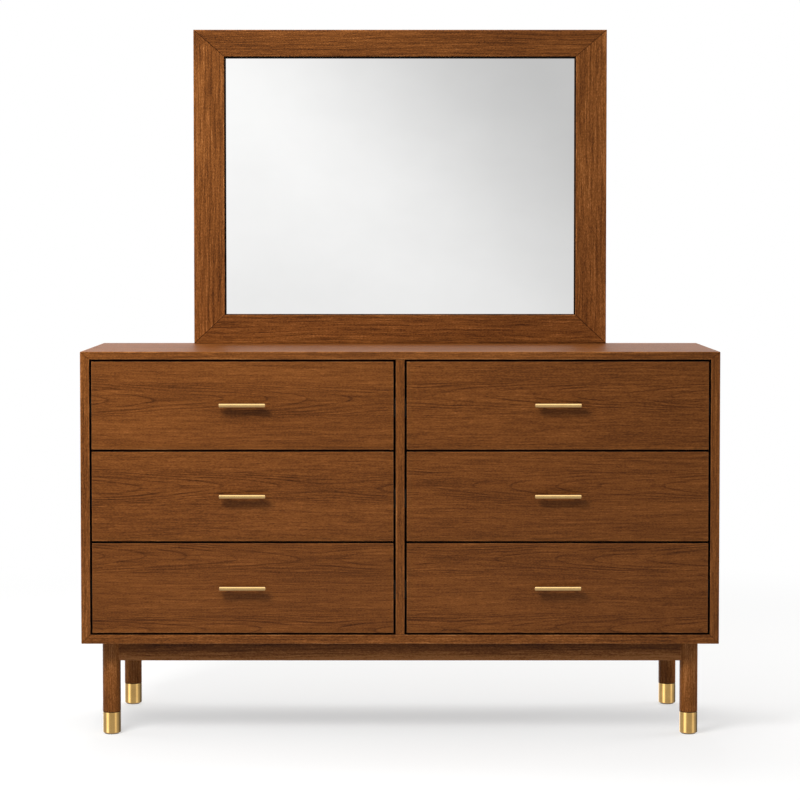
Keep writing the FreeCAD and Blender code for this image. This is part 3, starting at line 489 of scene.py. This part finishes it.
def pale_wood(name, ways, seed, stops, pitch=0.004, ring_dark=0.18, roughness=0.5):
    """Unfigured wood whose rings lie a pitch apart, in metres."""
    shade = Shade(name)
    place = shade.place()
    along, across, through = (place[i] for i in GRAIN_WAYS[ways])
    straight = shade.join(along, across, through)
    cross = across + shade.noise(straight, (2.5, 12.0, 12.0), 2.0, seed=seed).swing(0.016)
    grain = shade.join(along, cross, through)
    ring = (cross / pitch + through / (1.7 * pitch) + 40.0).fraction()
    ring = ring.rise(0.2, 0.85) - ring.rise(0.88, 1.0)
    fibres = shade.noise(grain, (20.0, 520.0, 520.0), 3.0, 0.6, seed=seed + 4)
    clouds = shade.noise(grain, (3.0, 20.0, 20.0), 2.0, seed=seed + 8)
    flecks = shade.noise(grain, (80.0, 900.0, 900.0), 1.0, seed=seed + 12).rise(0.62, 0.76)
    light = 0.55 + clouds.swing(0.5) + fibres.swing(0.6) - ring * ring_dark - flecks * 0.18
    return shade.finish(
        Base_Color=light.clamped().colour(*stops), Roughness=roughness + fibres.swing(0.2),
        Specular_IOR_Level=0.35, Normal=shade.bump(fibres * 0.5 - flecks, 0.0002))


def black_board():
    """Matt black fibreboard, a little scuffed."""
    shade = Shade("black_board")
    vector = shade.vector()
    felted = shade.noise(vector, (700.0, 700.0, 700.0), 3.0, 0.7)
    scuffs = shade.noise(vector, (9.0, 9.0, 60.0), 3.0, seed=4.0).rise(0.55, 0.8)
    colour = (felted * 0.7 + scuffs * 0.4).colour(
        (0.2, rgb(14, 13, 13)), (0.6, rgb(34, 32, 30)), (1.0, rgb(62, 58, 54)))
    return shade.finish(Base_Color=colour, Roughness=0.75 + felted.swing(0.3),
                        Specular_IOR_Level=0.3, Normal=shade.bump(felted, 0.0002))


def nylon():
    """Black nylon with a fine grain and some dust."""
    shade = Shade("black_nylon")
    vector = shade.vector()
    grain = shade.noise(vector, (1500.0, 1500.0, 1500.0), 2.0, 0.6)
    dust = shade.noise(vector, (120.0, 120.0, 120.0), 3.0, seed=2.0)
    colour = (grain * 0.4 + dust * 0.6).colour(
        (0.3, rgb(20, 20, 21)), (0.55, rgb(34, 34, 35)), (0.8, rgb(58, 57, 55)))
    return shade.finish(Base_Color=colour, Roughness=0.55 + grain.swing(0.3),
                        Normal=shade.bump(grain, 0.0001))


def mirror_glass():
    """Silvered glass with a faint film of dust."""
    shade = Shade("mirror")
    film = shade.noise(shade.vector(), (5.0, 5.0, 7.0), 3.0, 0.6)
    colour = film.colour((0.3, (0.955, 0.955, 0.95, 1.0)), (0.7, (0.985, 0.985, 0.98, 1.0)))
    return shade.finish(Base_Color=colour, Metallic=1.0, Roughness=film.rise(0.45, 0.8) * 0.02)


def dress_fittings():
    """Metal pieces, the mirror's glass and backing, and the glides."""
    along_bar = brass("brass_brushed", (30.0, 2600.0, 2600.0), BAR_LACQUER)
    turned = brass("brass_turned", (900.0, 900.0, 20.0), FERRULE_LACQUER)
    zinc = steel("zinc_steel", ZINC, 0.34)
    black_steel = steel("black_steel", BLACK_COAT, 0.42, metallic=0.0)
    for name in DRAWERS:
        assign(f"drawer_{name}_pull", along_bar)
        assign(f"drawer_{name}_slide_members", black_steel)
        assign(f"slide_{name}_middle_members", black_steel)
    for end in ("front", "rear"):
        for side in COLUMNS:
            assign(f"ferrule_{end}_{side}", turned)
    assign("slide_case_members", black_steel)
    assign("case_screws", zinc)
    assign("mirror_fasteners", zinc)
    assign("mirror_glass", mirror_glass())
    assign("mirror_backing", black_board())
    assign("glides", nylon())


def dress_inner_wood():
    """Drawer boxes, rails, blocks, mirror supports and the back panel."""
    for number, name in enumerate(DRAWERS):
        assign(f"drawer_{name}_box", pale_wood(f"birch_{name}", "xz", 3.0 * number, BIRCH))
    assign("back_rails", pale_wood("poplar_rails", "xz", 31.0, POPLAR, 0.006))
    assign("corner_blocks", pale_wood("poplar_blocks", "zx", 37.0, POPLAR, 0.005))
    assign("mirror_supports", pale_wood("poplar_supports", "zx", 41.0, POPLAR, 0.006))
    assign("case_back", pale_wood(
        "plywood_back", "xz", 47.0, PLYWOOD, 0.011, ring_dark=0.30, roughness=0.6))


# ---------------------------------------------------------------- floor and reflector

WHITE = (1.0, 1.0, 1.0, 1.0)
FLOOR_RADIUS = 9.0
FLOOR_FADE = (1.6, 3.0)      # distances between which the floor turns from lit to plain white
FLOOR_COLOUR = 0.90
FLOOR_BOUNCE = 0.22          # what the floor sends back onto the object
FLOOR_BLUE = 0.99            # its blue against its red and green
FLOOR_GLOW = 0.55            # share of plain white in the lit floor

# The reflector stands behind the camera, where only the mirror and other gloss see it. Its tones
# run from white at the upper left to grey at the upper right as the mirror shows them. The edges
# below are shares of the part that the mirror shows, from its left and from its top.
REFLECTOR_Y = -6.6
REFLECTOR_LOW, REFLECTOR_HIGH = Vector((-3.2, 0.0)), Vector((3.2, 4.2))
REFLECTOR_PALE, REFLECTOR_FALL, REFLECTOR_GREY = 0.994, 0.165, 0.562
REFLECTOR_DOWN, REFLECTOR_ACROSS, REFLECTOR_SLANT = (-0.02, 1.38), (-0.14, 0.91), 0.68


def stage_piece(name, mesh, material):
    """Object of the studio, not of the dresser, with this mesh and material."""
    piece = bpy.data.objects.new(name, mesh)
    bpy.context.scene.collection.objects.link(piece)
    mesh.materials.append(material)
    return piece


def floor_material():
    """Pale matt floor, partly glowing on the rays that show it and dim on those that light the object."""
    shade = Shade("studio_floor")
    x, y, _ = shade.place()
    far = (x * x + y * y).math("SQRT").rise(*FLOOR_FADE)
    seen = shade.rays("Camera").most(shade.rays("Glossy")).most(shade.rays("Transmission"))
    diffuse = shade.node("ShaderNodeBsdfDiffuse")
    pale = FLOOR_BOUNCE + seen * (FLOOR_COLOUR - FLOOR_BOUNCE)
    shade.feed(diffuse.inputs["Color"], shade.join(pale, pale, pale * FLOOR_BLUE))
    glow = shade.node("ShaderNodeEmission")
    glow.inputs["Color"].default_value = WHITE
    mixed = shade.node("ShaderNodeMixShader")
    shade.feed(mixed.inputs[0], seen * (FLOOR_GLOW + far * (1.0 - FLOOR_GLOW)))
    shade.feed(mixed.inputs[1], diffuse.outputs[0])
    shade.feed(mixed.inputs[2], glow.outputs[0])
    shade.output(mixed.outputs[0])
    return shade.material


def make_floor():
    mesh = bpy.data.meshes.new("studio_floor")
    shape = bmesh.new()
    bmesh.ops.create_circle(shape, cap_ends=True, segments=96, radius=FLOOR_RADIUS)
    shape.to_mesh(mesh)
    shape.free()
    floor = stage_piece("studio_floor", mesh, floor_material())
    floor.visible_glossy = False


def reflector_material(left, right, top, bottom):
    """Glow whose tones fit the card's part between these places, in metres."""
    shade = Shade("studio_reflector")
    x, _, z = shade.place()
    share_x = (x - left) / (right - left)
    share_down = (top - z) / (top - bottom)
    pale = REFLECTOR_PALE - share_down.rise(*REFLECTOR_DOWN) * REFLECTOR_FALL
    grey = (share_x - share_down * REFLECTOR_SLANT).rise(*REFLECTOR_ACROSS)
    glow = shade.node("ShaderNodeEmission")
    shade.feed(glow.inputs["Strength"], pale * (1.0 - grey) + grey * REFLECTOR_GREY)
    shade.output(glow.outputs[0])
    return shade.material


def make_reflector(eye):
    """Flat card seen by gloss only, with its tones laid out in the part that the mirror shows the eye."""
    low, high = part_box("mirror_glass")
    face = low.y
    spread = (eye.y - face + REFLECTOR_Y - face) / (eye.y - face)

    def mirrored(value, eye_value):
        return eye_value + (value - eye_value) * spread

    material = reflector_material(
        mirrored(low.x, eye.x), mirrored(high.x, eye.x), mirrored(high.z, eye.z), mirrored(low.z, eye.z))
    mesh = bpy.data.meshes.new("studio_reflector")
    corners = [(x, REFLECTOR_Y, z) for x, z in (
        (REFLECTOR_LOW.x, REFLECTOR_LOW.y), (REFLECTOR_HIGH.x, REFLECTOR_LOW.y),
        (REFLECTOR_HIGH.x, REFLECTOR_HIGH.y), (REFLECTOR_LOW.x, REFLECTOR_HIGH.y))]
    mesh.from_pydata(corners, [], [(3, 2, 1, 0)])
    card = stage_piece("studio_reflector", mesh, material)
    card.visible_camera = card.visible_diffuse = card.visible_shadow = False


# ---------------------------------------------------------------- world, lamps and camera

SKY = 0.72                   # light on matt surfaces from straight above, falling to none at the sides
GLOSS_FLOOR = 0.59           # what gloss sees between the panels
GLOSS_PANELS = (             # degrees to the right of straight ahead, half width, strength
    (-50.0, 28.0, 1.75), (56.0, 22.0, 0.7), (130.0, 55.0, -0.45), (-150.0, 25.0, 1.2))
PANEL_ENDS = (0.3, 0.8)      # sines of the heights between which the panels fade
GLOSS_BAND = (0.64, 0.36, 2.2)   # sine of its height, half width, strength
GLOSS_REAR, GLOSS_HORIZON = (-0.15, 0.25), (0.0, 0.1)    # where white begins behind the object
SOFTBOXES = (  # name, place, point that it faces, width, height, watts
    ("key", (-1.341, -2.003, 2.573), (-0.3, -0.2, 0.7), 1.3, 0.9, 80.0),
    ("rear", (-0.2, 1.8, 3.7), (0.0, 0.0, 0.3), 2.4, 2.4, 76.0),
    ("low", (0.1, -1.35, 0.16), (0.05, -0.2, 0.20), 1.9, 0.2, 2.6),
    ("right", (3.0, 0.7, 1.0), (0.7, 0.2, 0.8), 1.2, 1.2, 24.0),
    ("left", (-3.0, 0.7, 1.0), (-0.7, 0.2, 0.8), 1.2, 1.2, 12.0))

CAMERA_PLACE = Vector((-0.0003, -5.8616, 1.2070))
CAMERA_DOWN = 2.270          # degrees below level
CAMERA_LENS = 106.74
CAMERA_SENSOR = 36.0
CAMERA_SHIFT = -0.09
CAMERA_CLIP = (0.1, 60.0)


def hump(value, middle, width):
    """1 where a Field is at its middle, falling to 0 at a width from it."""
    return 1.0 - abs(value - middle).rise(0.0, width)


def glossy_studio(shade):
    """Studio as gloss sees it: white above and behind the object, and elsewhere panels and darker gaps."""
    x, y, z = shade.place("Generated")
    azimuth = x.math("ARCTAN2", 0.0 - y)
    panels = sum(hump(azimuth, math.radians(middle), math.radians(width)) * strength
                 for middle, width, strength in GLOSS_PANELS)
    band_middle, band_width, band_strength = GLOSS_BAND
    overhead = hump(z, band_middle, band_width) * band_strength
    ahead = GLOSS_FLOOR + panels * (1.0 - abs(z).rise(*PANEL_ENDS)) + overhead
    behind = y.rise(*GLOSS_REAR) * z.rise(*GLOSS_HORIZON)
    return ahead * (1.0 - behind) + behind


def make_world():
    """Light of a broad ceiling for matt surfaces, the studio for gloss, and white for the camera."""
    world = bpy.data.worlds.new("studio")
    bpy.context.scene.world = world
    shade = Shade("studio", world)
    height = shade.place("Generated")[2]
    glossy = shade.rays("Glossy")
    clear = shade.rays("Camera").most(shade.rays("Transmission"))
    light = height.most(0.0) * SKY * (1.0 - glossy) + glossy_studio(shade) * glossy
    background = shade.node("ShaderNodeBackground")
    background.inputs["Color"].default_value = WHITE
    shade.feed(background.inputs["Strength"], light * (1.0 - clear) + clear)
    shade.output(background.outputs[0], "ShaderNodeOutputWorld")


def make_lamps():
    for name, place, target, width, height, watts in SOFTBOXES:
        data = bpy.data.lights.new(name, "AREA")
        data.shape, data.size, data.size_y, data.energy = "RECTANGLE", width, height, watts
        lamp = bpy.data.objects.new(name, data)
        lamp.location = place
        lamp.rotation_euler = (Vector(target) - Vector(place)).to_track_quat("-Z", "Y").to_euler()
        lamp.visible_camera = lamp.visible_glossy = False
        bpy.context.scene.collection.objects.link(lamp)


def make_camera():
    data = bpy.data.cameras.new("camera")
    data.lens, data.sensor_width, data.shift_y = CAMERA_LENS, CAMERA_SENSOR, CAMERA_SHIFT
    data.clip_start, data.clip_end = CAMERA_CLIP
    camera = bpy.data.objects.new("camera", data)
    camera.location = CAMERA_PLACE
    camera.rotation_euler = (math.radians(90.0 - CAMERA_DOWN), 0.0, 0.0)
    bpy.context.scene.collection.objects.link(camera)
    bpy.context.scene.camera = camera


dress_walnut()
dress_fittings()
dress_inner_wood()
make_floor()
make_world()
make_lamps()
make_camera()
make_reflector(CAMERA_PLACE)
bpy.context.scene.view_settings.view_transform = "Standard"
